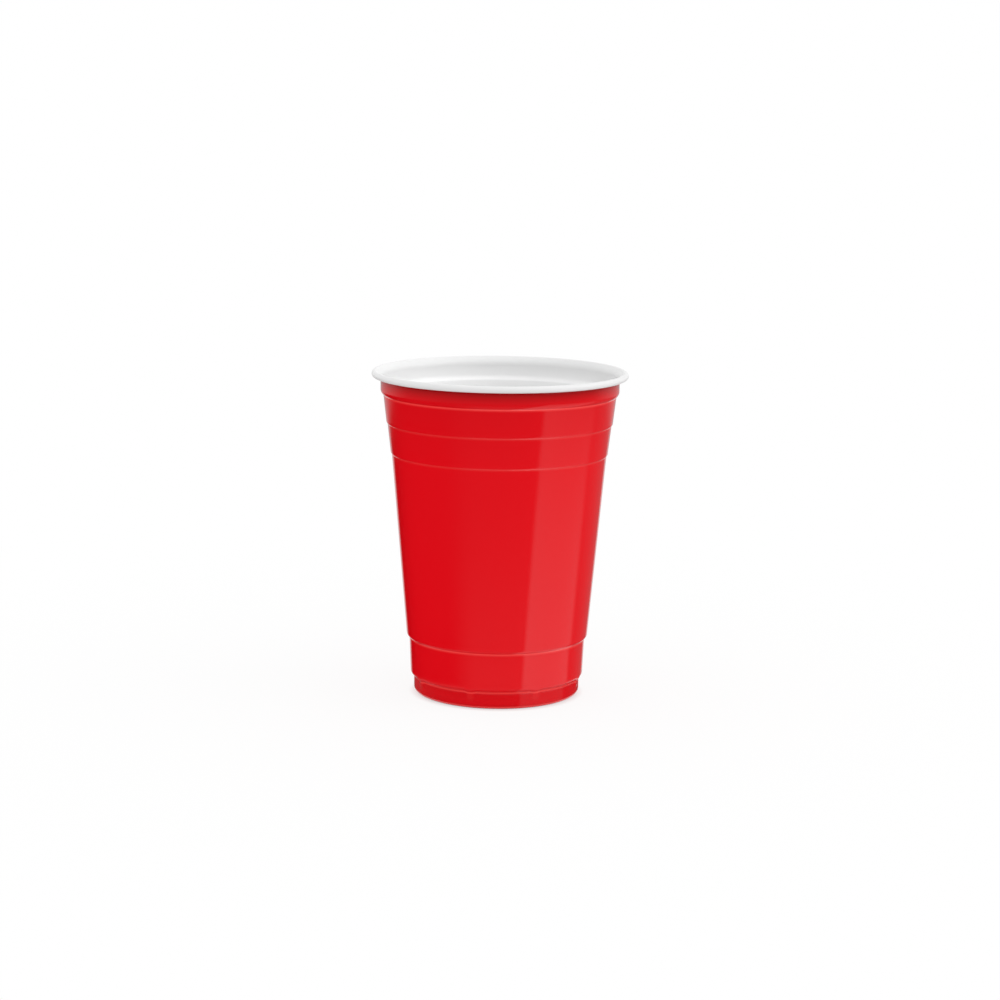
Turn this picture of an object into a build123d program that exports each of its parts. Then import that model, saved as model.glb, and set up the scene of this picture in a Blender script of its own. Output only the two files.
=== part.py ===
from build123d import *
import math
import os

# A party cup formed from one thin plastic sheet: a rolled lip, a plain collar, two grip bands, a long
# tapered wall, and a stacking foot with upright ribs. The cup stands on the XY plane and its axis is Z.
# The section is a line along the outer face of the sheet, and the inner face lies one wall inside it.

# Overall sizes, in millimetres and degrees
height = 120.0
rim_diameter = 94.0
foot_diameter = 61.4
wall = 0.4

# Rolled lip: the sheet flares out of the collar and curls over, outwards and down
lip_roll = 2.6
lip_reach = 3.3
lip_lean = 45.0
lip_turn = 225.0
lip_turns = 5

# Collar and grip bands, from the rim down, each ending in a small step inwards
collar_depth = 9.1
upper_band = 10.5
middle_band = 11.25
collar_step = 1.05
grip_step = 0.4
band_taper = 6.6

# Lower end of the wall, from the ground up
foot_height = 6.2
lower_band = 14.45
foot_step = 1.2
lower_step = 1.0
lower_taper = 2.5

# Lean of the slope of every step, from upright
step_lean = 42.0

# Foot and base: the sole is the ring that the cup stands on, and the base panel is raised inside it
sole_width = 4.6
sole_round = 2.2
sole_turns = 3
base_rise = 2.6
riser_lean = 25.0

# Ribs of the foot: each one carries the foot's step lower down and fades out above the sole
rib_count = 8
rib_rise = 0.45
rib_drop = 0.5
rib_sink = 0.25
rib_crest = 3.4
rib_flank = 30.0
rib_fade = 2.6
rib_tail_share = 0.25


def tangent(degrees):
    """Tangent of an angle in degrees."""
    return math.tan(math.radians(degrees))


def polar(centre, radius, degrees):
    """Point at a distance and a direction from a centre."""
    angle = math.radians(degrees)
    return Vector(centre[0] + radius * math.cos(angle), centre[1] + radius * math.sin(angle))


# Values that follow from the sizes above
rim_radius = rim_diameter / 2
foot_radius = foot_diameter / 2
collar_radius = rim_radius - lip_reach
roll_radius = lip_roll / 2
roll_centre = (rim_radius - roll_radius, height - roll_radius)
step_rise = 1 / tangent(step_lean)
foot_shoulder = foot_height + foot_step * step_rise
lower_top = foot_height + lower_band
collar_foot = height - collar_depth
upper_foot = collar_foot - upper_band
middle_foot = upper_foot - middle_band


def bend(centre, radius, start, end, turns):
    """Corners that carry a line round a circle in equal turns, its flats touching the circle."""
    each = (end - start) / turns
    reach = radius / math.cos(math.radians(each / 2))
    return [polar(centre, reach, start + each * (i + 0.5)) for i in range(turns)]


def step(radius, foot, depth):
    """The two corners of a step: the inner one on the wall below, the outer one on the wall above."""
    return [Vector(radius, foot), Vector(radius + depth, foot + depth * step_rise)]


def base_line():
    """Outer face of the base panel and the sole, from the axis to the foot's side."""
    sole_inner = foot_radius - sole_width
    riser_top = sole_inner - base_rise * tangent(riser_lean)
    sole_centre = (foot_radius - sole_round, sole_round)
    sole_edge = bend(sole_centre, sole_round, -90, 0, sole_turns)
    return [Vector(0, base_rise), Vector(riser_top, base_rise), Vector(sole_inner, 0)] + sole_edge


def lower_line():
    """Outer face of the foot's step and of the step under the long wall."""
    shoulder = foot_radius + foot_step
    lower_radius = shoulder + (lower_top - foot_shoulder) * tangent(lower_taper)
    return step(foot_radius, foot_height, foot_step) + step(lower_radius, lower_top, lower_step)


def upper_line():
    """Outer face of the grip bands and the collar, worked out from the collar down."""
    grip_rise = grip_step * step_rise
    upper_radius = collar_radius - collar_step
    middle_radius = upper_radius - (upper_band - grip_rise) * tangent(band_taper) - grip_step
    wall_radius = middle_radius - (middle_band - grip_rise) * tangent(band_taper) - grip_step
    grips = step(wall_radius, middle_foot, grip_step) + step(middle_radius, upper_foot, grip_step)
    return grips + step(upper_radius, collar_foot, collar_step)


def lip_line():
    """Outer face of the flare, and of the roll down to the sheet's edge, where it lies inside the curl."""
    start = 90 + lip_lean
    end = start - lip_turn * (lip_turns + 1) / lip_turns
    curl = bend(roll_centre, roll_radius - wall, start, end, lip_turns + 1)
    flare_foot = curl[0].Y - (curl[0].X - collar_radius) / tangent(lip_lean)
    return [Vector(collar_radius, flare_foot)] + curl


def rib_line():
    """Outer face of a rib, from its buried tail up the crest to its ledge and the wall above."""
    crest = foot_radius + rib_rise
    crest_top = foot_height - rib_drop
    tail = foot_radius - rib_rise * rib_tail_share
    tail_foot = rib_fade - (crest_top - rib_fade) * rib_tail_share
    ledge = foot_radius + foot_step - rib_sink
    ledge_foot = crest_top + (ledge - crest) * step_rise
    top = foot_shoulder + foot_step
    return [Vector(tail, tail_foot), Vector(crest, crest_top), Vector(ledge, ledge_foot), Vector(ledge, top)]


def moved_in(line, depth):
    """The same line on a face that lies deeper in the sheet."""
    legs = [(b - a).normalized() for a, b in zip(line, line[1:])]
    before = legs[:1] + legs
    after = legs + legs[-1:]
    moved = []
    for point, leg_in, leg_out in zip(line, before, after):
        inward = leg_in.rotate(Axis.Z, 90) + leg_out.rotate(Axis.Z, 90)
        moved.append(point + inward * (depth / (1 + leg_in.dot(leg_out))))
    return moved


def spun(outline):
    """Solid of revolution of a closed outline of radii and heights."""
    return revolve(Plane.XZ * make_face(Polyline(*outline, close=True)), Axis.Z)


def make_sheet():
    """The sheet without its ribs: base, foot, bands, collar and rolled lip in one section."""
    outside = base_line() + lower_line() + upper_line() + lip_line()
    inside = moved_in(outside, wall)
    return spun(outside + inside[::-1])


def make_core():
    """Plug that fills the lower cup up to the middle of the sheet."""
    line = moved_in(base_line() + lower_line(), wall / 2)
    return spun(line + [Vector(0, line[-1].Y)])


def make_rib(depth):
    """One rib over the X axis as a plug, its faces moved in by a depth."""
    line = moved_in(rib_line(), depth)
    core = foot_radius - sole_round
    ring = spun(line + [Vector(core, line[-1].Y), Vector(core, line[0].Y)])
    crest = foot_radius + rib_rise - depth / math.cos(math.radians(rib_flank))
    tip = crest + rib_crest / 2 * tangent(rib_flank)
    root = (tip - core) / tangent(rib_flank)
    plan = make_face(Polyline((core, -root), (tip, 0), (core, root), close=True))
    return ring & extrude(plan, height)


def around(rib):
    """Copies of a rib round the axis, with the X and Y axes halfway between ribs."""
    return [place * rib for place in PolarLocations(0, rib_count, 180 / rib_count)]


def make_cup():
    """The cup as one solid: the sheet with its ribs raised outside and hollow inside."""
    raised = make_rib(0) - make_core()
    return make_sheet() + around(raised) - around(make_rib(wall))


os.makedirs("parts", exist_ok=True)
export_step(make_cup(), "parts/cup.step")
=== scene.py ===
"""A formed plastic party cup, red outside and white inside, on a white studio floor."""

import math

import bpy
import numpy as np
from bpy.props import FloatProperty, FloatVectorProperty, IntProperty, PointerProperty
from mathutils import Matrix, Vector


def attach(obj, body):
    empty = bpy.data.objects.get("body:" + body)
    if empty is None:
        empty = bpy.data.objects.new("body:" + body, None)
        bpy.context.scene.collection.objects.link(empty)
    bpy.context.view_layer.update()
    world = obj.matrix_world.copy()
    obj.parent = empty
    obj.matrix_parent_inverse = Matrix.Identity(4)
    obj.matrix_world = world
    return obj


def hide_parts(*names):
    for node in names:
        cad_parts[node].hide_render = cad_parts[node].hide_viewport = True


bl_info = {
    "name": "Party cup",
    "version": (1, 0, 0),
    "blender": (4, 5, 0),
    "location": "3D View > Sidebar > Cup",
    "description": "Builds a formed plastic party cup with its finish, and the studio that it stands in",
    "category": "Add Mesh",
}

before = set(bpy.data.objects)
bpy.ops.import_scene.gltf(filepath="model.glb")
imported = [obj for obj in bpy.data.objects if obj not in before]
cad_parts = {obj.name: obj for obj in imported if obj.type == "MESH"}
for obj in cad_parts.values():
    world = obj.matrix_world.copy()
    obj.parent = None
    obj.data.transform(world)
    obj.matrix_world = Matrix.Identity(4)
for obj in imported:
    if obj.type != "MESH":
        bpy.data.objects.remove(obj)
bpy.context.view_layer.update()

CUP_NODE = "cup"
CUP_BODY = "root"


def node_reach(name):
    """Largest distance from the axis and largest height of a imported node's points."""
    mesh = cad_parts[name].data
    points = np.empty(len(mesh.vertices) * 3)
    mesh.vertices.foreach_get("co", points)
    points = points.reshape(-1, 3)
    return float(np.hypot(points[:, 0], points[:, 1]).max()), float(points[:, 2].max())


RIM_RADIUS, CUP_HEIGHT = node_reach(CUP_NODE)


# Properties

def length(name, description, default):
    """A length in metres."""
    return FloatProperty(name=name, description=description, default=default, precision=5, unit="LENGTH")


def angle(name, description, degrees):
    """An angle, given in degrees."""
    return FloatProperty(name=name, description=description, default=math.radians(degrees), subtype="ANGLE")


def amount(name, description, default):
    """A plain number."""
    return FloatProperty(name=name, description=description, default=default, precision=4)


def power(name, description, default):
    """Power of a light in watts."""
    return FloatProperty(name=name, description=description, default=default, precision=3, unit="POWER")


def colour(name, description, default):
    """A colour in linear light."""
    return FloatVectorProperty(name=name, description=description, default=default, subtype="COLOR",
                               size=3, min=0.0, max=1.0)


class CupSizes(bpy.types.PropertyGroup):
    """Sizes of the formed sheet."""

    height: length("Height", "Height of the cup", CUP_HEIGHT)
    rim_radius: length("Rim radius", "Outer radius of the rolled lip", RIM_RADIUS)
    foot_radius: length("Foot radius", "Radius of the foot between its ribs", 0.0307)
    wall: length("Wall", "Thickness of the sheet", 0.0004)
    lip_roll: length("Lip roll", "Diameter of the rolled lip's section", 0.0024)
    lip_reach: length("Lip reach", "How far the lip stands out past the collar", 0.0033)
    lip_lean: angle("Lip lean", "Lean of the flare under the lip, from upright", 45.0)
    lip_turn: angle("Lip turn", "Turn of the roll from the flare to the sheet's edge", 247.5)
    lip_round: length("Lip round", "Round between the collar and the flare", 0.0026)
    collar_depth: length("Collar depth", "From the rim down to the collar's step", 0.00895)
    upper_band: length("Upper band", "Height of the upper grip band", 0.0105)
    middle_band: length("Middle band", "Height of the lower grip band", 0.01125)
    collar_step: length("Collar step", "Depth of the step under the collar", 0.00105)
    grip_step: length("Grip step", "Depth of the steps of the grip bands", 0.0004)
    band_taper: angle("Band taper", "Taper of the grip bands", 6.6)
    foot_height: length("Foot height", "From the ground up to the foot's step", 0.0062)
    lower_band: length("Lower band", "Height of the band above the foot", 0.0146)
    foot_step: length("Foot step", "Depth of the step above the foot", 0.0012)
    lower_step: length("Lower step", "Depth of the step under the long wall", 0.001)
    lower_taper: angle("Lower taper", "Taper of the band above the foot", 2.5)
    step_lean: angle("Step lean", "Lean of the slope of every step, from upright", 42.0)
    corner_round: length("Corner round", "Round at the inner corner of every step", 0.0003)
    collar_round: length("Collar round", "Round at the outer corner of the collar's step", 0.0023)
    grip_round: length("Grip round", "Round at the outer corners of the grip steps", 0.00095)
    lower_round: length("Lower round", "Round at the outer corners of the lower steps", 0.0014)
    sole_width: length("Sole width", "Width of the ring that the cup stands on, with its round", 0.0046)
    sole_round: length("Sole round", "Round of the sole's outer edge", 0.0022)
    sole_inner_round: length("Sole inner round", "Round of the sole's inner edge", 0.0012)
    base_rise: length("Base rise", "Height of the base panel over the ground", 0.0026)
    base_round: length("Base round", "Round at the edge of the base panel", 0.001)
    riser_lean: angle("Riser lean", "Lean of the wall between sole and base panel", 25.0)
    rib_count: IntProperty(name="Ribs", description="Number of ribs round the foot", default=8, min=1)
    rib_rise: length("Rib rise", "How far a rib stands out of the foot", 0.00045)
    rib_drop: length("Rib drop", "How much lower a rib carries the foot's step", 0.0003)
    rib_fade: length("Rib fade", "Height over the ground where a rib has faded out", 0.0022)
    rib_crest: length("Rib crest", "Width of a rib's crest", 0.0009)
    rib_root: length("Rib root", "Width of a rib at its root", 0.0056)
    # Rib paling and the line and sole sizes below place painted highlights. They give a sheen up each rib's
    # crest, and the floor's reflection in each step's slope and on the sole's round.
    rib_paling: amount("Rib paling", "Strength of the paler strip up the middle of a rib", 0.125)
    line_reach: length("Line reach", "How far the paler line of a step spreads", 0.0005)
    line_lift: length("Line lift", "How far up the slope of a step its paler line lies", 0.0002)
    line_depth: length("Line depth", "Depth of step from which its paler line is full", 0.001)
    foot_paling: amount("Foot paling", "Strength of the paler line at the foot's step", 0.95)
    sole_line: angle("Sole line", "Where the paler line lies on the sole's round, down from its side", 36.0)
    sole_paling: amount("Sole paling", "Strength of the paler line on the sole's round", 1.0)
    sole_reach: length("Sole reach", "How far the paler line on the sole's round spreads", 0.0004)
    # The deep sizes place painted shade in the red and the white: under the lip, where the lip shades the
    # collar, darker towards the top of the wall, and on the foot under its step.
    deep_start: length("Deep start", "From the rim down to where the red is deepest, under the lip", 0.0026)
    deep_end: length("Deep end", "From the rim down to where that hollow ends", 0.0092)
    deep_reach: length("Deep reach", "From the rim down to where the wall's red is plain", 0.045)
    deep_wall_share: amount("Deep wall share", "Strength of the wall's deeper red at the top", 0.2)
    deep_foot: length("Deep foot", "From the ground up to where the red of the foot is plain", 0.0078)
    deep_foot_fade: length("Deep foot fade", "Height over which the foot's red gets plain", 0.0018)
    deep_foot_share: amount("Deep foot share", "Strength of the foot's deeper red", 0.2)


class CupFinish(bpy.types.PropertyGroup):
    """Colours and gloss of the sheet's two faces."""

    red: colour("Red", "Outer face", (0.753, 0.0033, 0.0084))
    soft_red: colour("Soft red", "Outer face where its tone is lower", (0.721, 0.0028, 0.0076))
    # This darker red is painted shade. The depth layer lays it under the lip, towards the top of the wall and
    # on the foot.
    shade_red: colour("Deep red", "Outer face in the hollow under the lip", (0.374, 0.0041, 0.0059))
    # This paler red is a painted highlight: the floor's reflection in each step's slope and on the sole's
    # round, and a sheen up each rib's crest.
    highlight_red: colour("Pale red", "Outer face where a step stretched the sheet", (0.97, 0.061, 0.057))
    white: colour("White", "Inner face", (0.89, 0.89, 0.89))
    soft_white: colour("Soft white", "Inner face where its tone is lower", (0.885, 0.885, 0.885))
    # This greyer white is painted shade. It greys the lip and flare, and a little of the inside towards the
    # rim and on the base, through the depth layer.
    shade_white: colour("Lip white", "Lip and flare, where the sheet is thinner", (0.725, 0.725, 0.725))
    red_gloss: amount("Red gloss", "Specular level of the outer face", 0.3)
    red_smooth: amount("Red smooth", "Least roughness of the outer face", 0.07)
    red_dull: amount("Red dull", "Most roughness of the outer face", 0.12)
    white_gloss: amount("White gloss", "Specular level of the inner face", 0.15)
    white_smooth: amount("White smooth", "Least roughness of the inner face", 0.28)
    white_dull: amount("White dull", "Most roughness of the inner face", 0.33)
    peel_height: length("Peel height", "Height of the faint orange peel", 0.00001)


class StudioSetup(bpy.types.PropertyGroup):
    """Camera, floor and lights. Light directions count from the camera, to its right."""

    camera_distance: length("Camera distance", "From the cup's axis, along the floor", 0.9528)
    camera_height: length("Camera height", "Over the floor", 0.2378)
    camera_turn: angle("Camera turn", "Direction of the camera round the cup, from +X", -94.8)
    camera_roll: angle("Camera roll", "Lean of the camera about its own view", 0.75)
    aim_height: length("Aim height", "Height on the cup's axis that the camera looks at", 0.07193)
    aim_side: length("Aim side", "How far right of the axis the camera looks", 0.00052)
    lens: FloatProperty(name="Lens", description="Focal length", default=94.42, unit="CAMERA")
    floor_size: length("Floor size", "Side of the floor", 12.0)
    floor_drop: length("Floor drop", "Gap under the sole", 0.00005)
    floor_white: colour("Floor white", "Colour of the floor", (0.82, 0.82, 0.82))
    floor_glow: amount("Floor glow", "Share of plain white in the floor beside the cup", 0.88)
    shadow_reach: length("Shadow reach", "Distance at which the floor is plain white", 0.35)
    # The contact shadow is partly painted: a thin ring round the sole has less plain white, so it is darker
    # even where light falls.
    contact_glow: amount("Contact glow", "Share of plain white in the floor under the sole", 0.6)
    contact_start: length("Contact start", "Where the contact shadow is deepest, from the axis", 0.03)
    contact_end: length("Contact end", "Where the contact shadow ends, from the axis", 0.033)
    ambient: amount("Ambient", "Soft light from all round", 1.01)
    key_power: power("Key power", "Large soft light above", 1.1)
    side_power: power("Side power", "Soft light on the right", 1.75)
    left_power: power("Left power", "Soft light on the left", 0.38)
    mouth_power: power("Mouth power", "Light over the right rim into the cup", 1.1)
    card_light: amount("Card light", "Brightness of the white card close to the cup", 1.85)
    card_fade: amount("Card fade", "How much darker the card is for each metre away from the cup", 3.3)
    card_start: angle("Card start", "Turn on the lower band where the card's reflection starts", 17.0)
    card_shift: angle("Card shift", "How much further right it starts on the upper band", 5.4)
    card_end: angle("Card end", "Turn where the card's reflection ends", 54.5)
    front_light: amount("Front light", "Brightness of the floor close in front, as gloss shows it", 0.5)
    front_fade: length("Front fade", "Distance over which the front's brightness falls to a third", 0.17)
    front_start: angle("Front start", "Turn where the front's reflection starts", -32.0)
    back_light: amount("Back light", "Brightness of the floor on the right behind, as gloss shows it", 0.19)
    rear_light: amount("Rear light", "Brightness of the floor straight behind, as gloss shows it", 0.75)
    skirt_light: amount("Skirt light", "Brightness of the floor close round the foot, as gloss shows it", 0.6)
    foot_light: amount("Foot light", "Brightness that the foot's own gloss shows", 0.1)
    far_front: amount("Far front", "Brightness of the floor far away in front, as gloss shows it", 0.17)
    far_light: amount("Far light", "Brightness of the floor far away at the sides, as gloss shows it", 0.5)


# The section of the sheet

SMALL_ROWS = 5
SOLE_ROWS = 13
ROLL_ROWS = 28
EDGE_ROWS = 3
SUPPORT, SUPPORT_SHARE = 0.0006, 0.25
SIDE_SHARES = np.array([0.0, 0.25, 0.5, 0.75])
LINE_CORE = 1.25


def ease(x):
    """Smooth step from 0 to 1, level at both ends."""
    x = np.clip(x, 0.0, 1.0)
    return x * x * (3.0 - 2.0 * x)


def turned(vector, angles):
    """A plane vector turned by each of an array of angles."""
    c, s = np.cos(angles), np.sin(angles)
    return np.stack([vector[0] * c - vector[1] * s, vector[0] * s + vector[1] * c], axis=-1)


def corner_rows(before, corner, after, size, rows):
    """Rows round one corner, with their normals to the left of the line.

    The arc touches both legs, so it starts size times the tangent of half the turn before the corner.
    Each normal is the first leg's left side turned with the line. A corner with no round is one row.
    """
    leg_in = (corner - before) / np.linalg.norm(corner - before)
    leg_out = (after - corner) / np.linalg.norm(after - corner)
    turn = math.atan2(leg_in[0] * leg_out[1] - leg_in[1] * leg_out[0], leg_in @ leg_out)
    shares = np.linspace(0.0, 1.0, rows) if size else np.array([0.5])
    side = np.array([-leg_in[1], leg_in[0]])
    normals = turned(side, turn * shares)
    start = corner - leg_in * size * math.tan(abs(turn) / 2)
    return start + math.copysign(size, turn) * (side - normals), normals


def leg_rows(start, end):
    """Two rows on a straight leg, close to its ends, so that shading stays even along it."""
    leg = end - start
    run = np.linalg.norm(leg)
    inset = min(SUPPORT / run, SUPPORT_SHARE)
    side = np.array([-leg[1], leg[0]]) / run
    return start + leg * np.array([[inset], [1.0 - inset]]), np.stack([side, side])


def rounded_line(start, corners, end):
    """Points and left normals of a line from start to end through rounded corners."""
    places = [start] + [corner[:2] for corner in corners] + [end]
    places = [np.array(place) for place in places]
    rounds = [corner_rows(*places[i:i + 3], *corner[2:]) for i, corner in enumerate(corners)]
    points, normals = [], []
    last = places[0]
    for arc_points, arc_normals in rounds:
        leg_points, leg_normals = leg_rows(last, arc_points[0])
        points += [leg_points, arc_points]
        normals += [leg_normals, arc_normals]
        last = arc_points[-1]
    leg_points, leg_normals = leg_rows(last, places[-1])
    return np.concatenate(points + [leg_points]), np.concatenate(normals + [leg_normals])


def step(radius, foot, depth, rise, inner, outer):
    """Inner and outer corner of a step."""
    return [(radius, foot, inner, SMALL_ROWS), (radius + depth, foot + depth * rise, outer, SMALL_ROWS)]


def outer_face(s, lift, drop):
    """Outer face of the sheet as points and normals, from the axis under the base to the lip's edge.

    It runs along the base panel, round the sole, up the foot, over the steps and out into the roll,
    which is an arc about the lip's centre. Lift and drop carry the foot's step outwards and down on a rib.
    The third result has a row for each paler line, a painted highlight of the floor's reflection: its radius,
    height, strength and reach.
    """
    rise = 1.0 / math.tan(s.step_lean)
    taper = math.tan(s.band_taper)
    sole_inner = s.foot_radius - s.sole_width
    riser_top = sole_inner - s.base_rise * math.tan(s.riser_lean)
    base = [(riser_top, s.base_rise, s.base_round, SMALL_ROWS),
            (sole_inner, 0.0, s.sole_inner_round, SMALL_ROWS)]
    sole = [(s.foot_radius, 0.0, s.sole_round, SOLE_ROWS)]

    step_foot = s.foot_height - drop
    side_radii = s.foot_radius + lift * ease(SIDE_SHARES)
    side_heights = s.rib_fade + (step_foot - s.rib_fade) * SIDE_SHARES
    side = [(r, z, 0.0, 1) for r, z in zip(side_radii[1:], side_heights[1:])]

    lower_top = s.foot_height + s.lower_band
    shoulder = s.foot_height + s.foot_step * rise
    foot = [(s.foot_radius + lift, step_foot, s.corner_round, SMALL_ROWS),
            (s.foot_radius + s.foot_step, shoulder - drop, s.lower_round, SMALL_ROWS)]
    lower_radius = s.foot_radius + s.foot_step + (lower_top - shoulder) * math.tan(s.lower_taper)
    lower = step(lower_radius, lower_top, s.lower_step, rise, s.corner_round, s.lower_round)

    collar_radius = s.rim_radius - s.lip_reach
    collar_foot = s.height - s.collar_depth
    upper_foot = collar_foot - s.upper_band
    middle_foot = upper_foot - s.middle_band
    upper_radius = collar_radius - s.collar_step
    middle_radius = upper_radius - (s.upper_band - s.grip_step * rise) * taper - s.grip_step
    wall_radius = middle_radius - (s.middle_band - s.grip_step * rise) * taper - s.grip_step
    middle = step(wall_radius, middle_foot, s.grip_step, rise, s.corner_round, s.grip_round)
    upper = step(middle_radius, upper_foot, s.grip_step, rise, s.corner_round, s.grip_round)
    collar = step(upper_radius, collar_foot, s.collar_step, rise, s.corner_round, s.collar_round)

    roll_radius = s.lip_roll / 2 - s.wall
    roll_centre = np.array([s.rim_radius - s.lip_roll / 2, s.height - s.lip_roll / 2])
    roll_start = math.pi / 2 + s.lip_lean
    roll_angles = np.linspace(roll_start, roll_start - s.lip_turn, ROLL_ROWS)
    roll_normals = np.stack([np.cos(roll_angles), np.sin(roll_angles)], axis=-1)
    roll = roll_centre + roll_radius * roll_normals
    flare_foot = roll[0, 1] - (roll[0, 0] - collar_radius) / math.tan(s.lip_lean)
    flare = [(collar_radius, flare_foot, s.lip_round, SMALL_ROWS)]

    corners = base + sole + side + foot + lower + middle + upper + collar + flare
    points, normals = rounded_line((0.0, s.base_rise), corners, roll[0])
    # Each paler line is a painted highlight: the floor's reflection in a step's slope, and one on the sole's
    # round.
    steps = np.array([line[0][:2] for line in (foot, lower, middle, upper, collar)])
    steps = steps + s.line_lift * np.array([math.sin(s.step_lean), math.cos(s.step_lean)])
    depths = np.array([s.foot_step, s.lower_step, s.grip_step, s.grip_step, s.collar_step])
    strengths = np.minimum(depths / s.line_depth, 1.0)
    strengths[0] = s.foot_paling
    sole_edge = [s.foot_radius - s.sole_round * (1.0 - math.cos(s.sole_line)),
                 s.sole_round * (1.0 - math.sin(s.sole_line)), s.sole_paling, s.sole_reach]
    reaches = np.full(len(steps), s.line_reach)
    lines = np.vstack([np.column_stack([steps, strengths, reaches]), sole_edge])
    return np.concatenate([points, roll]), np.concatenate([normals, roll_normals]), lines


def section(s, lift, drop):
    """Closed section of the sheet: the outer face, a half round at the lip's edge, and the inner face back.

    The inner face is the outer one moved by the wall along its normals. The half round swings from the
    outer end through the line's own direction to the inner end.
    """
    outside, normals, lines = outer_face(s, lift, drop)
    inside = outside + s.wall * normals
    swing = np.linspace(0.0, math.pi, EDGE_ROWS + 2)[1:-1, None]
    across = normals[-1]
    along = np.array([across[1], -across[0]])
    middle = (outside[-1] + inside[-1]) / 2
    edge = middle + s.wall / 2 * (along * np.sin(swing) - across * np.cos(swing))
    rows = np.concatenate([outside, edge, inside[::-1]])
    return rows, painted_highlight(rows, len(outside), lines), len(outside)


def painted_highlight(rows, outer_rows, lines):
    """How much painted highlight each row of the section carries, from 0 to 1, on the outer face only.

    It is each line's strength, full in the line's core and eased down to nothing at its reach. Where lines
    meet, the stronger one counts.
    """
    away = np.hypot(rows[:, None, 0] - lines[:, 0], rows[:, None, 1] - lines[:, 1])
    pale = (lines[:, 2] * ease(LINE_CORE * (1.0 - away / lines[:, 3]))).max(axis=1)
    pale[outer_rows:] = 0.0
    return pale


# The mesh

COLUMNS_PER_RIB = 40
COLUMN_PACKING = 0.6


def column_angles(s):
    """Directions of the mesh columns, packed closer on the ribs, and how much of a rib is at each.

    The angle is the even share of the turn less a sine that draws columns towards each rib. The weight
    eases from 1 on the crest to 0 at the root, by the distance from the rib's middle along the foot.
    """
    pitch = 2.0 * math.pi / s.rib_count
    share = np.arange(s.rib_count * COLUMNS_PER_RIB) / COLUMNS_PER_RIB
    share = share - COLUMN_PACKING * np.sin(2.0 * math.pi * share) / (2.0 * math.pi)
    distance = s.foot_radius * pitch * np.abs(share - np.round(share))
    weight = ease((s.rib_root / 2 - distance) / ((s.rib_root - s.rib_crest) / 2))
    return pitch * (share + 0.5), weight


def grid_faces(rows, columns):
    """Corner numbers of the quads of a grid that closes on itself across its columns."""
    row = np.arange(rows - 1)[:, None] * columns
    column = np.arange(columns)[None, :]
    after = (column + 1) % columns
    return np.stack([row + column, row + after, row + columns + after, row + columns + column], axis=-1)


def pole_faces(ring, pole, outward):
    """Corner numbers of the triangles between a ring of points and a pole."""
    after = np.roll(ring, -1)
    poles = np.full_like(ring, pole)
    return np.stack([poles, after, ring] if outward else [ring, after, poles], axis=-1)


def make_mesh(name, points, quads, triangles):
    """Mesh from arrays of points, quads and triangles."""
    mesh = bpy.data.meshes.new(name)
    mesh.vertices.add(len(points))
    mesh.vertices.foreach_set("co", points.astype(np.float32).ravel())
    corners = np.concatenate([quads.ravel(), triangles.ravel()])
    totals = np.concatenate([np.full(len(quads), 4), np.full(len(triangles), 3)])
    starts = np.concatenate([[0], np.cumsum(totals)[:-1]])
    mesh.loops.add(len(corners))
    mesh.loops.foreach_set("vertex_index", corners.astype(np.int32))
    mesh.polygons.add(len(totals))
    mesh.polygons.foreach_set("loop_start", starts.astype(np.int32))
    mesh.polygons.foreach_set("loop_total", totals.astype(np.int32))
    mesh.polygons.foreach_set("use_smooth", np.ones(len(totals), bool))
    mesh.update(calc_edges=True)
    if mesh.validate():
        raise RuntimeError(f"{name} has faulty faces")
    return mesh


def add_layer(mesh, name, values):
    """Named value at each point of a mesh, for its material."""
    layer = mesh.attributes.new(name, "FLOAT", "POINT")
    layer.data.foreach_set("value", values.ravel().astype(np.float32))


def rib_side(s, heights):
    """Share of each height that is on the side of the foot: eased in over the sole, and out at the step."""
    return ease(heights / s.rib_fade - 1.0) * ease((s.foot_height - heights) / s.rib_drop)


def depth(s, heights):
    """How much painted shade darkens the colour at each height, from 0 to 1.

    Three terms add up, all painted shade: the cube of the share of the way up to the hollow under the lip,
    where the lip shades the collar, a mild ease up the wall, darker towards the top, and the foot, shaded
    under the step above it.
    """
    below = s.height - heights
    hollow = np.clip((s.deep_end - below) / (s.deep_end - s.deep_start), 0.0, 1.0) ** 3
    wall = s.deep_wall_share * ease(1.0 - below / s.deep_reach)
    foot = s.deep_foot_share * ease((s.deep_foot - heights) / s.deep_foot_fade)
    return np.minimum(hollow + wall + foot, 1.0)


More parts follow.
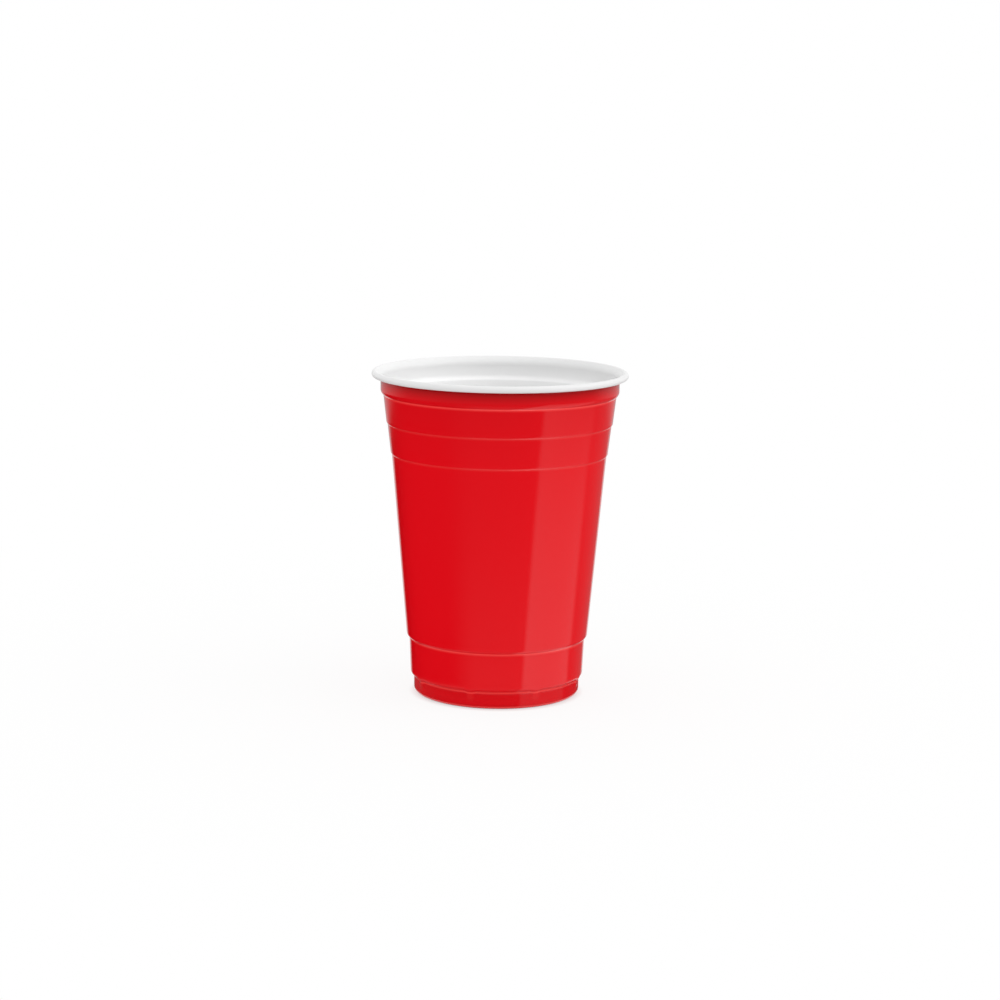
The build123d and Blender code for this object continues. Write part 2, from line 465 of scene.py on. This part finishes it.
def make_cup(s):
    """The whole sheet as one closed surface.

    Each column is a mix of two sections, one between ribs and one on a rib, by the rib's weight there,
    and the columns go once round the axis. The two ends of the section close at poles on the axis. The
    paler strip on a rib, a painted sheen on its crest, follows the cube of the rib's weight.
    """
    panel, panel_pale, outer_rows = section(s, 0.0, 0.0)
    rib, rib_pale, _ = section(s, s.rib_rise, s.rib_drop)
    angles, weight = column_angles(s)
    mixed = panel[:, None, :] * (1.0 - weight[None, :, None]) + rib[:, None, :] * weight[None, :, None]
    radius, height = mixed[..., 0], mixed[..., 1]
    points = np.stack([radius * np.cos(angles), radius * np.sin(angles), height], axis=-1).reshape(-1, 3)
    rows, columns = radius.shape
    poles = np.array([[0.0, 0.0, s.base_rise], [0.0, 0.0, s.base_rise + s.wall]])
    under = pole_faces(np.arange(columns), len(points), True)
    over = pole_faces(np.arange(columns) + (rows - 1) * columns, len(points) + 1, False)
    quads = grid_faces(rows, columns).reshape(-1, 4)
    mesh = make_mesh("cup_sheet", np.concatenate([points, poles]), quads, np.concatenate([under, over]))

    white_rows = np.arange(rows - 1) > outer_rows
    slots = np.concatenate([np.repeat(white_rows, columns), np.zeros(columns, bool), np.ones(columns, bool)])
    mesh.polygons.foreach_set("material_index", slots.astype(np.int32))

    # The paler marks are painted highlights: the floor's reflection in the steps and on the sole's round, and
    # a sheen up each rib's crest.
    pale = panel_pale[:, None] * (1.0 - weight) + rib_pale[:, None] * weight
    strip = s.rib_paling * rib_side(s, height) * weight ** 3
    strip[outer_rows:] = 0.0
    add_layer(mesh, "painted_highlight", np.append(np.maximum(pale, strip).ravel(), [0.0, 0.0]))
    # The depth layer is painted shade on both faces: under the lip, towards the top and on the foot.
    add_layer(mesh, "depth", depth(s, np.append(points[:, 2], poles[:, 2])))
    return mesh


# Materials

TONE_SCALE, TONE_DRAW = 40.0, 0.25
PEEL_SCALE, PEEL_STRENGTH = 900.0, 0.1


def add_node(tree, kind, **inputs):
    """A new node with some of its inputs set. Input names have spaces as underscores."""
    node = tree.nodes.new(kind)
    for name, value in inputs.items():
        node.inputs[name.replace("_", " ")].default_value = value
    return node


def mix_colours(tree, factor, first, second):
    """A node's output that mixes two colours or outputs by a factor output."""
    mix = tree.nodes.new("ShaderNodeMix")
    mix.data_type = "RGBA"
    sockets = {socket.identifier: socket for socket in mix.inputs}
    for name, value in (("A_Color", first), ("B_Color", second)):
        if isinstance(value, bpy.types.NodeSocket):
            tree.links.new(value, sockets[name])
        else:
            sockets[name].default_value = (*value, 1.0)
    tree.links.new(factor, sockets["Factor_Float"])
    return next(socket for socket in mix.outputs if socket.identifier == "Result_Color")


def layer_output(tree, name):
    """Output of a named value of the mesh."""
    node = tree.nodes.new("ShaderNodeAttribute")
    node.attribute_name = name
    return node.outputs["Fac"]


def sheet_group():
    """Node group for formed sheet: slow changes of tone, gloss that follows them, and a faint orange peel.

    Tone is broad noise that is drawn out upwards, as the sheet was. Roughness lies between the two limits
    by that tone. Height is fine noise for a bump.
    """
    tree = bpy.data.node_groups.new("formed_sheet", "ShaderNodeTree")
    for name in ("Smooth", "Dull"):
        tree.interface.new_socket(name, in_out="INPUT", socket_type="NodeSocketFloat")
    for name in ("Tone", "Roughness", "Height"):
        tree.interface.new_socket(name, in_out="OUTPUT", socket_type="NodeSocketFloat")
    given = tree.nodes.new("NodeGroupInput")
    result = tree.nodes.new("NodeGroupOutput")
    place = tree.nodes.new("ShaderNodeTexCoord")
    drawn = add_node(tree, "ShaderNodeMapping", Scale=(1.0, 1.0, TONE_DRAW))
    tone = add_node(tree, "ShaderNodeTexNoise", Scale=TONE_SCALE, Detail=3.0, Roughness=0.5)
    peel = add_node(tree, "ShaderNodeTexNoise", Scale=PEEL_SCALE, Detail=2.0)
    gloss = tree.nodes.new("ShaderNodeMapRange")
    link = tree.links.new
    link(place.outputs["Object"], drawn.inputs["Vector"])
    link(drawn.outputs["Vector"], tone.inputs["Vector"])
    link(place.outputs["Object"], peel.inputs["Vector"])
    link(tone.outputs["Fac"], gloss.inputs["Value"])
    link(given.outputs["Smooth"], gloss.inputs["To Min"])
    link(given.outputs["Dull"], gloss.inputs["To Max"])
    link(tone.outputs["Fac"], result.inputs["Tone"])
    link(gloss.outputs["Result"], result.inputs["Roughness"])
    link(peel.outputs["Fac"], result.inputs["Height"])
    return tree


def sheet_material(name, group, gloss, smooth, dull, peel_height):
    """A plastic whose roughness and bump come from the sheet group. Gives the material, shader and tone."""
    material = bpy.data.materials.new(name)
    material.use_nodes = True
    tree = material.node_tree
    shader = tree.nodes["Principled BSDF"]
    shader.inputs["Specular IOR Level"].default_value = gloss
    sheet = tree.nodes.new("ShaderNodeGroup")
    sheet.node_tree = group
    sheet.inputs["Smooth"].default_value = smooth
    sheet.inputs["Dull"].default_value = dull
    bump = add_node(tree, "ShaderNodeBump", Strength=PEEL_STRENGTH, Distance=peel_height)
    tree.links.new(sheet.outputs["Roughness"], shader.inputs["Roughness"])
    tree.links.new(sheet.outputs["Height"], bump.inputs["Height"])
    tree.links.new(bump.outputs["Normal"], shader.inputs["Normal"])
    return material, shader, sheet.outputs["Tone"]


def red_plastic(finish, group):
    """Outer face: red, with painted shade under the lip, towards the top of the wall and on the foot, and
    painted highlights in the steps, on the sole's round and up the ribs.
    """
    material, shader, tone = sheet_material("red_plastic", group, finish.red_gloss, finish.red_smooth,
                                            finish.red_dull, finish.peel_height)
    tree = material.node_tree
    ground = mix_colours(tree, tone, finish.red, finish.soft_red)
    # Painted shade: the red deepens under the lip, towards the top of the wall and on the foot.
    shaded = mix_colours(tree, layer_output(tree, "depth"), ground, finish.shade_red)
    # Painted highlights: paler red in the steps, on the sole's round and up the ribs.
    paled = mix_colours(tree, layer_output(tree, "painted_highlight"), shaded, finish.highlight_red)
    tree.links.new(paled, shader.inputs["Base Color"])
    return material


def white_plastic(finish, group):
    """Inner face and lip: white, a little softer in places, and greyer by painted shade on the lip and flare,
    and a little towards the rim and on the base.
    """
    material, shader, tone = sheet_material("white_plastic", group, finish.white_gloss, finish.white_smooth,
                                            finish.white_dull, finish.peel_height)
    tree = material.node_tree
    ground = mix_colours(tree, tone, finish.white, finish.soft_white)
    # Painted shade greys the white on the lip and flare.
    greyed = mix_colours(tree, layer_output(tree, "depth"), ground, finish.shade_white)
    tree.links.new(greyed, shader.inputs["Base Color"])
    return material


# The studio

def ray_mask(tree):
    """Output that is 1 for camera, glossy and transmission rays, and 0 for the light that bounces."""
    path = tree.nodes.new("ShaderNodeLightPath")
    either = tree.nodes.new("ShaderNodeMath")
    either.operation = "MAXIMUM"
    any_of = tree.nodes.new("ShaderNodeMath")
    any_of.operation = "MAXIMUM"
    tree.links.new(path.outputs["Is Camera Ray"], either.inputs[0])
    tree.links.new(path.outputs["Is Glossy Ray"], either.inputs[1])
    tree.links.new(either.outputs[0], any_of.inputs[0])
    tree.links.new(path.outputs["Is Transmission Ray"], any_of.inputs[1])
    return any_of.outputs[0]


def floor_material(studio):
    """Pale floor that shows plain white away from the cup and keeps a soft shadow beside it."""
    material = bpy.data.materials.new("studio_floor")
    material.use_nodes = True
    tree = material.node_tree
    tree.nodes.clear()
    out = tree.nodes.new("ShaderNodeOutputMaterial")
    matt = add_node(tree, "ShaderNodeBsdfDiffuse", Color=(*studio.floor_white, 1.0))
    glow = add_node(tree, "ShaderNodeEmission", Strength=1.0)
    place = tree.nodes.new("ShaderNodeTexCoord")
    far = tree.nodes.new("ShaderNodeVectorMath")
    far.operation = "LENGTH"
    # The contact shadow is partly painted. In a thin ring round the sole less of the floor is plain white, so
    # that ring is darker even where light falls. The real shadow that the diffuse share keeps lies under it.
    contact = add_node(tree, "ShaderNodeMapRange", From_Min=studio.contact_start, From_Max=studio.contact_end,
                       To_Min=studio.contact_glow, To_Max=studio.floor_glow)
    contact.interpolation_type = "SMOOTHSTEP"
    fade = add_node(tree, "ShaderNodeMapRange", From_Max=studio.shadow_reach, To_Max=1.0 - studio.floor_glow)
    fade.interpolation_type = "SMOOTHSTEP"
    glowing = tree.nodes.new("ShaderNodeMath")
    glowing.operation = "ADD"
    share = tree.nodes.new("ShaderNodeMath")
    share.operation = "MULTIPLY"
    mix = tree.nodes.new("ShaderNodeMixShader")
    link = tree.links.new
    link(place.outputs["Object"], far.inputs[0])
    link(far.outputs["Value"], contact.inputs["Value"])
    link(far.outputs["Value"], fade.inputs["Value"])
    link(contact.outputs["Result"], glowing.inputs[0])
    link(fade.outputs["Result"], glowing.inputs[1])
    link(glowing.outputs[0], share.inputs[0])
    link(ray_mask(tree), share.inputs[1])
    link(share.outputs[0], mix.inputs["Fac"])
    link(matt.outputs[0], mix.inputs[1])
    link(glow.outputs[0], mix.inputs[2])
    link(mix.outputs[0], out.inputs["Surface"])
    return material


def make_floor(studio):
    """Square floor just under the sole."""
    half = studio.floor_size / 2
    corners = np.array([[-half, -half], [half, -half], [half, half], [-half, half]])
    points = np.column_stack([corners, np.full(4, -studio.floor_drop)])
    mesh = make_mesh("studio_floor", points, np.array([[0, 1, 2, 3]]), np.empty((0, 3), int))
    mesh.materials.append(floor_material(studio))
    floor = bpy.data.objects.new("studio_floor", mesh)
    bpy.context.scene.collection.objects.link(floor)


def make_world(studio):
    """White all round for camera and reflections, and a plain ambient light for the rest."""
    world = bpy.data.worlds.new("studio_world")
    world.use_nodes = True
    tree = world.node_tree
    strength = add_node(tree, "ShaderNodeMapRange", To_Min=studio.ambient, To_Max=1.0)
    tree.links.new(ray_mask(tree), strength.inputs["Value"])
    background = tree.nodes["Background"]
    background.inputs["Color"].default_value = (1.0, 1.0, 1.0, 1.0)
    tree.links.new(strength.outputs["Result"], background.inputs["Strength"])
    bpy.context.scene.world = world


def studio_point(studio, turn, distance, height):
    """Place at a distance from the axis, at a turn to the camera's right in degrees."""
    direction = studio.camera_turn + math.radians(turn)
    return Vector((distance * math.cos(direction), distance * math.sin(direction), height))


def make_light(name, power, size, place, aim):
    """Rectangular soft light that looks at a point."""
    light = bpy.data.lights.new(name, "AREA")
    light.shape = "RECTANGLE"
    light.size, light.size_y = size
    light.energy = power
    lamp = bpy.data.objects.new(name, light)
    lamp.location = place
    lamp.rotation_euler = (aim - place).to_track_quat("-Z", "Y").to_euler()
    lamp.visible_camera = False
    bpy.context.scene.collection.objects.link(lamp)


# Width and height of each light, and its place: turn to the camera's right in degrees, distance and height
KEY_SIZE, KEY_PLACE = (1.1, 0.8), (0.0, 0.45, 1.11)
SIDE_SIZE, SIDE_PLACE = (0.6, 0.8), (80.0, 0.82, 0.5)
LEFT_SIZE, LEFT_PLACE = (0.6, 0.8), (-80.0, 0.9, 0.35)
MOUTH_SIZE, MOUTH_PLACE = (0.2, 0.05), (90.0, 0.25, 0.25)


def make_lights(studio):
    """A large soft light above the front, one on each side, and one that shines into the mouth.

    The last one is turned so that the plane of its panel meets the right rim: it faces across the line from
    the light to the rim. Its light passes over the rim to the inside on the left, but not to the outer wall.
    """
    middle = Vector((0.0, 0.0, studio.aim_height))
    make_light("key_light", studio.key_power, KEY_SIZE, studio_point(studio, *KEY_PLACE), middle)
    make_light("side_light", studio.side_power, SIDE_SIZE, studio_point(studio, *SIDE_PLACE), middle)
    make_light("left_light", studio.left_power, LEFT_SIZE, studio_point(studio, *LEFT_PLACE), middle)
    turn, distance, height = MOUTH_PLACE
    mouth = studio_point(studio, *MOUTH_PLACE)
    across = studio_point(studio, turn, CUP_HEIGHT - height, distance - RIM_RADIUS)
    make_light("mouth_light", studio.mouth_power, MOUTH_SIZE, mouth, mouth + across)


# Grid of the reflected cards: turns on the wall, and reaches from it along the floor. The inner rows go in
# under the foot, behind a low edge.
GLEAM_TURNS = np.radians(np.arange(-88.0, 88.5, 0.5))
GLEAM_REACHES = np.concatenate([[-0.001, 0.0013, 0.0015, 0.0015], np.linspace(0.0047, 0.031, 14),
                                np.geomspace(0.04, 1.4, 24)])
GLEAM_INNER = 4
GLEAM_WALL = 0.0316
GLEAM_LIFT = 0.0001
GLEAM_EDGE = 0.005

# Where the brightness of the cards changes and over how much: turns in degrees, reaches in metres
CARD_SOFT, CARD_END_SOFT = 3.0, 5.0
CARD_TURN_FADE, CARD_SHIFT_REACH = 0.7, 0.3
FRONT_SOFT = 20.0
REAR_START, REAR_SOFT = 77.0, 4.0
SIDES_START, SIDES_SOFT = 45.0, 20.0
FAR_START, FAR_SOFT = 0.45, 0.15
SKIRT_END, SKIRT_SOFT = 0.03, 0.016
SKIRT_RIGHT, SKIRT_LEFT, SKIRT_TURN_SOFT = 42.0, -38.0, 16.0
SKIRT_GAIN, SKIRT_LOSS = 0.8, 0.5
FOOT_CARD_SHARE = 0.37


def gleam(studio, turns, reaches):
    """Brightness of the cards that gloss shows, by turn on the wall and by reach along the floor.

    The white card lies between its start and its end, and gets darker with the turn and the reach. The
    front is dim from its start on and fades with the reach, and the back on the right is dim too. The rest
    is dark, as flags make it, but for the floor straight behind and the skirt close round the foot, which
    is brighter on the right. Far away it all goes over into an even floor, brighter at the sides. The inner
    rows show the foot a dim card.
    """
    def edge(place, soft):
        """Ease from 0 to 1 over some degrees about a turn."""
        return ease((turns - place) / math.radians(soft) + 0.5)

    start = studio.card_start + studio.card_shift * np.minimum(reaches / CARD_SHIFT_REACH, 1.0)
    level = (studio.card_light - studio.card_fade * reaches) * (1.0 - CARD_TURN_FADE * (turns - start))
    level = np.maximum(level, 0.0)
    front = studio.front_light * np.exp(-reaches / studio.front_fade)
    front = front * edge(studio.front_start + math.radians(FRONT_SOFT / 2), FRONT_SOFT)
    behind = edge(studio.card_end, CARD_END_SOFT)
    card = edge(start, CARD_SOFT) * (1.0 - behind)
    near = front * (1.0 - card - behind) + level * card + studio.back_light * behind

    aside = np.degrees(np.abs(turns))
    near = np.maximum(near, studio.rear_light * ease((aside - REAR_START) / REAR_SOFT))
    far = studio.far_front + (studio.far_light - studio.far_front) * ease((aside - SIDES_START) / SIDES_SOFT)
    share = ease((reaches - FAR_START) / FAR_SOFT)
    gain = SKIRT_GAIN * edge(math.radians(SKIRT_RIGHT), SKIRT_TURN_SOFT)
    loss = SKIRT_LOSS * (1.0 - edge(math.radians(SKIRT_LEFT), SKIRT_TURN_SOFT))
    skirt = studio.skirt_light * (1.0 + gain - loss) * ease((SKIRT_END - reaches) / SKIRT_SOFT)
    values = np.maximum(near * (1.0 - share) + far * share, skirt)

    foot = studio.foot_light + (FOOT_CARD_SHARE * level - studio.foot_light) * card
    values[:GLEAM_INNER] = foot[:GLEAM_INNER]
    return values


def make_gleam(studio):
    """Cards and flags on the floor, as one sheet that only reflections see.

    Each column of it follows the camera's mirrored view: from the wall at a turn, out along twice that turn.
    It rises to a low edge close to the foot, so that the foot shows the rows inside that edge.
    """
    turns, reaches = np.meshgrid(GLEAM_TURNS, GLEAM_REACHES)
    heights = np.full(turns.shape, GLEAM_LIFT)
    heights[GLEAM_INNER - 1] = GLEAM_EDGE
    wall, mirrored = turns + studio.camera_turn, 2.0 * turns + studio.camera_turn
    points = np.stack([GLEAM_WALL * np.cos(wall) + reaches * np.cos(mirrored),
                       GLEAM_WALL * np.sin(wall) + reaches * np.sin(mirrored),
                       heights], axis=-1).reshape(-1, 3)
    rows, columns = turns.shape
    corner = (np.arange(rows - 1)[:, None] * columns + np.arange(columns - 1)).ravel()
    quads = np.stack([corner, corner + columns, corner + columns + 1, corner + 1], axis=-1)
    mesh = make_mesh("studio_gleam", points, quads, np.empty((0, 3), int))
    add_layer(mesh, "gleam", gleam(studio, turns, reaches))

    material = bpy.data.materials.new("studio_gleam")
    material.use_nodes = True
    tree = material.node_tree
    tree.nodes.clear()
    out = tree.nodes.new("ShaderNodeOutputMaterial")
    glow = tree.nodes.new("ShaderNodeEmission")
    tree.links.new(layer_output(tree, "gleam"), glow.inputs["Strength"])
    tree.links.new(glow.outputs[0], out.inputs["Surface"])
    mesh.materials.append(material)

    sheet = bpy.data.objects.new("studio_gleam", mesh)
    sheet.visible_camera = False
    sheet.visible_diffuse = False
    sheet.visible_transmission = False
    sheet.visible_volume_scatter = False
    sheet.visible_shadow = False
    bpy.context.scene.collection.objects.link(sheet)


def make_camera(studio):
    """Camera that looks at the axis from the photo's side, with its small roll."""
    data = bpy.data.cameras.new("camera")
    data.lens = studio.lens
    camera = bpy.data.objects.new("camera", data)
    place = studio_point(studio, 0.0, studio.camera_distance, studio.camera_height)
    aim = studio_point(studio, 90.0, studio.aim_side, studio.aim_height)
    look = (aim - place).to_track_quat("-Z", "Y").to_matrix().to_4x4()
    camera.matrix_world = Matrix.Translation(place) @ look @ Matrix.Rotation(studio.camera_roll, 4, "Z")
    bpy.context.scene.collection.objects.link(camera)
    bpy.context.scene.camera = camera


# Operators and panel

class CUP_OT_sheet(bpy.types.Operator):
    """Build the cup's formed sheet with its two finishes"""

    bl_idname = "cup.sheet"
    bl_label = "Build cup"

    def execute(self, context):
        finish = context.scene.cup_finish
        cup = bpy.data.objects.new("cup_sheet", make_cup(context.scene.cup_sizes))
        group = sheet_group()
        cup.data.materials.append(red_plastic(finish, group))
        cup.data.materials.append(white_plastic(finish, group))
        context.scene.collection.objects.link(cup)
        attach(cup, CUP_BODY)
        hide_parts(CUP_NODE)
        return {"FINISHED"}


class CUP_OT_studio(bpy.types.Operator):
    """Set up the floor, the lights and the camera"""

    bl_idname = "cup.studio"
    bl_label = "Set up studio"

    def execute(self, context):
        studio = context.scene.cup_studio
        make_floor(studio)
        make_world(studio)
        make_lights(studio)
        make_gleam(studio)
        make_camera(studio)
        context.scene.view_settings.view_transform = "Standard"
        return {"FINISHED"}


class CUP_PT_panel(bpy.types.Panel):
    """Sizes, finish and studio of the cup"""

    bl_label = "Party cup"
    bl_space_type = "VIEW_3D"
    bl_region_type = "UI"
    bl_category = "Cup"

    def draw(self, context):
        for operator in (CUP_OT_sheet, CUP_OT_studio):
            self.layout.operator(operator.bl_idname)
        for group in ("cup_sizes", "cup_finish", "cup_studio"):
            values = getattr(context.scene, group)
            column = self.layout.column(align=True)
            for name in values.__annotations__:
                column.prop(values, name)


CLASSES = (CupSizes, CupFinish, StudioSetup, CUP_OT_sheet, CUP_OT_studio, CUP_PT_panel)


def register():
    """Add the classes and the scene's properties."""
    for cls in CLASSES:
        bpy.utils.register_class(cls)
    bpy.types.Scene.cup_sizes = PointerProperty(type=CupSizes)
    bpy.types.Scene.cup_finish = PointerProperty(type=CupFinish)
    bpy.types.Scene.cup_studio = PointerProperty(type=StudioSetup)


def unregister():
    """Remove what register added."""
    del bpy.types.Scene.cup_studio
    del bpy.types.Scene.cup_finish
    del bpy.types.Scene.cup_sizes
    for cls in reversed(CLASSES):
        bpy.utils.unregister_class(cls)


def main():
    """Build the cup and its studio."""
    register()
    bpy.ops.cup.sheet()
    bpy.ops.cup.studio()


if __name__ == "__main__":
    main()
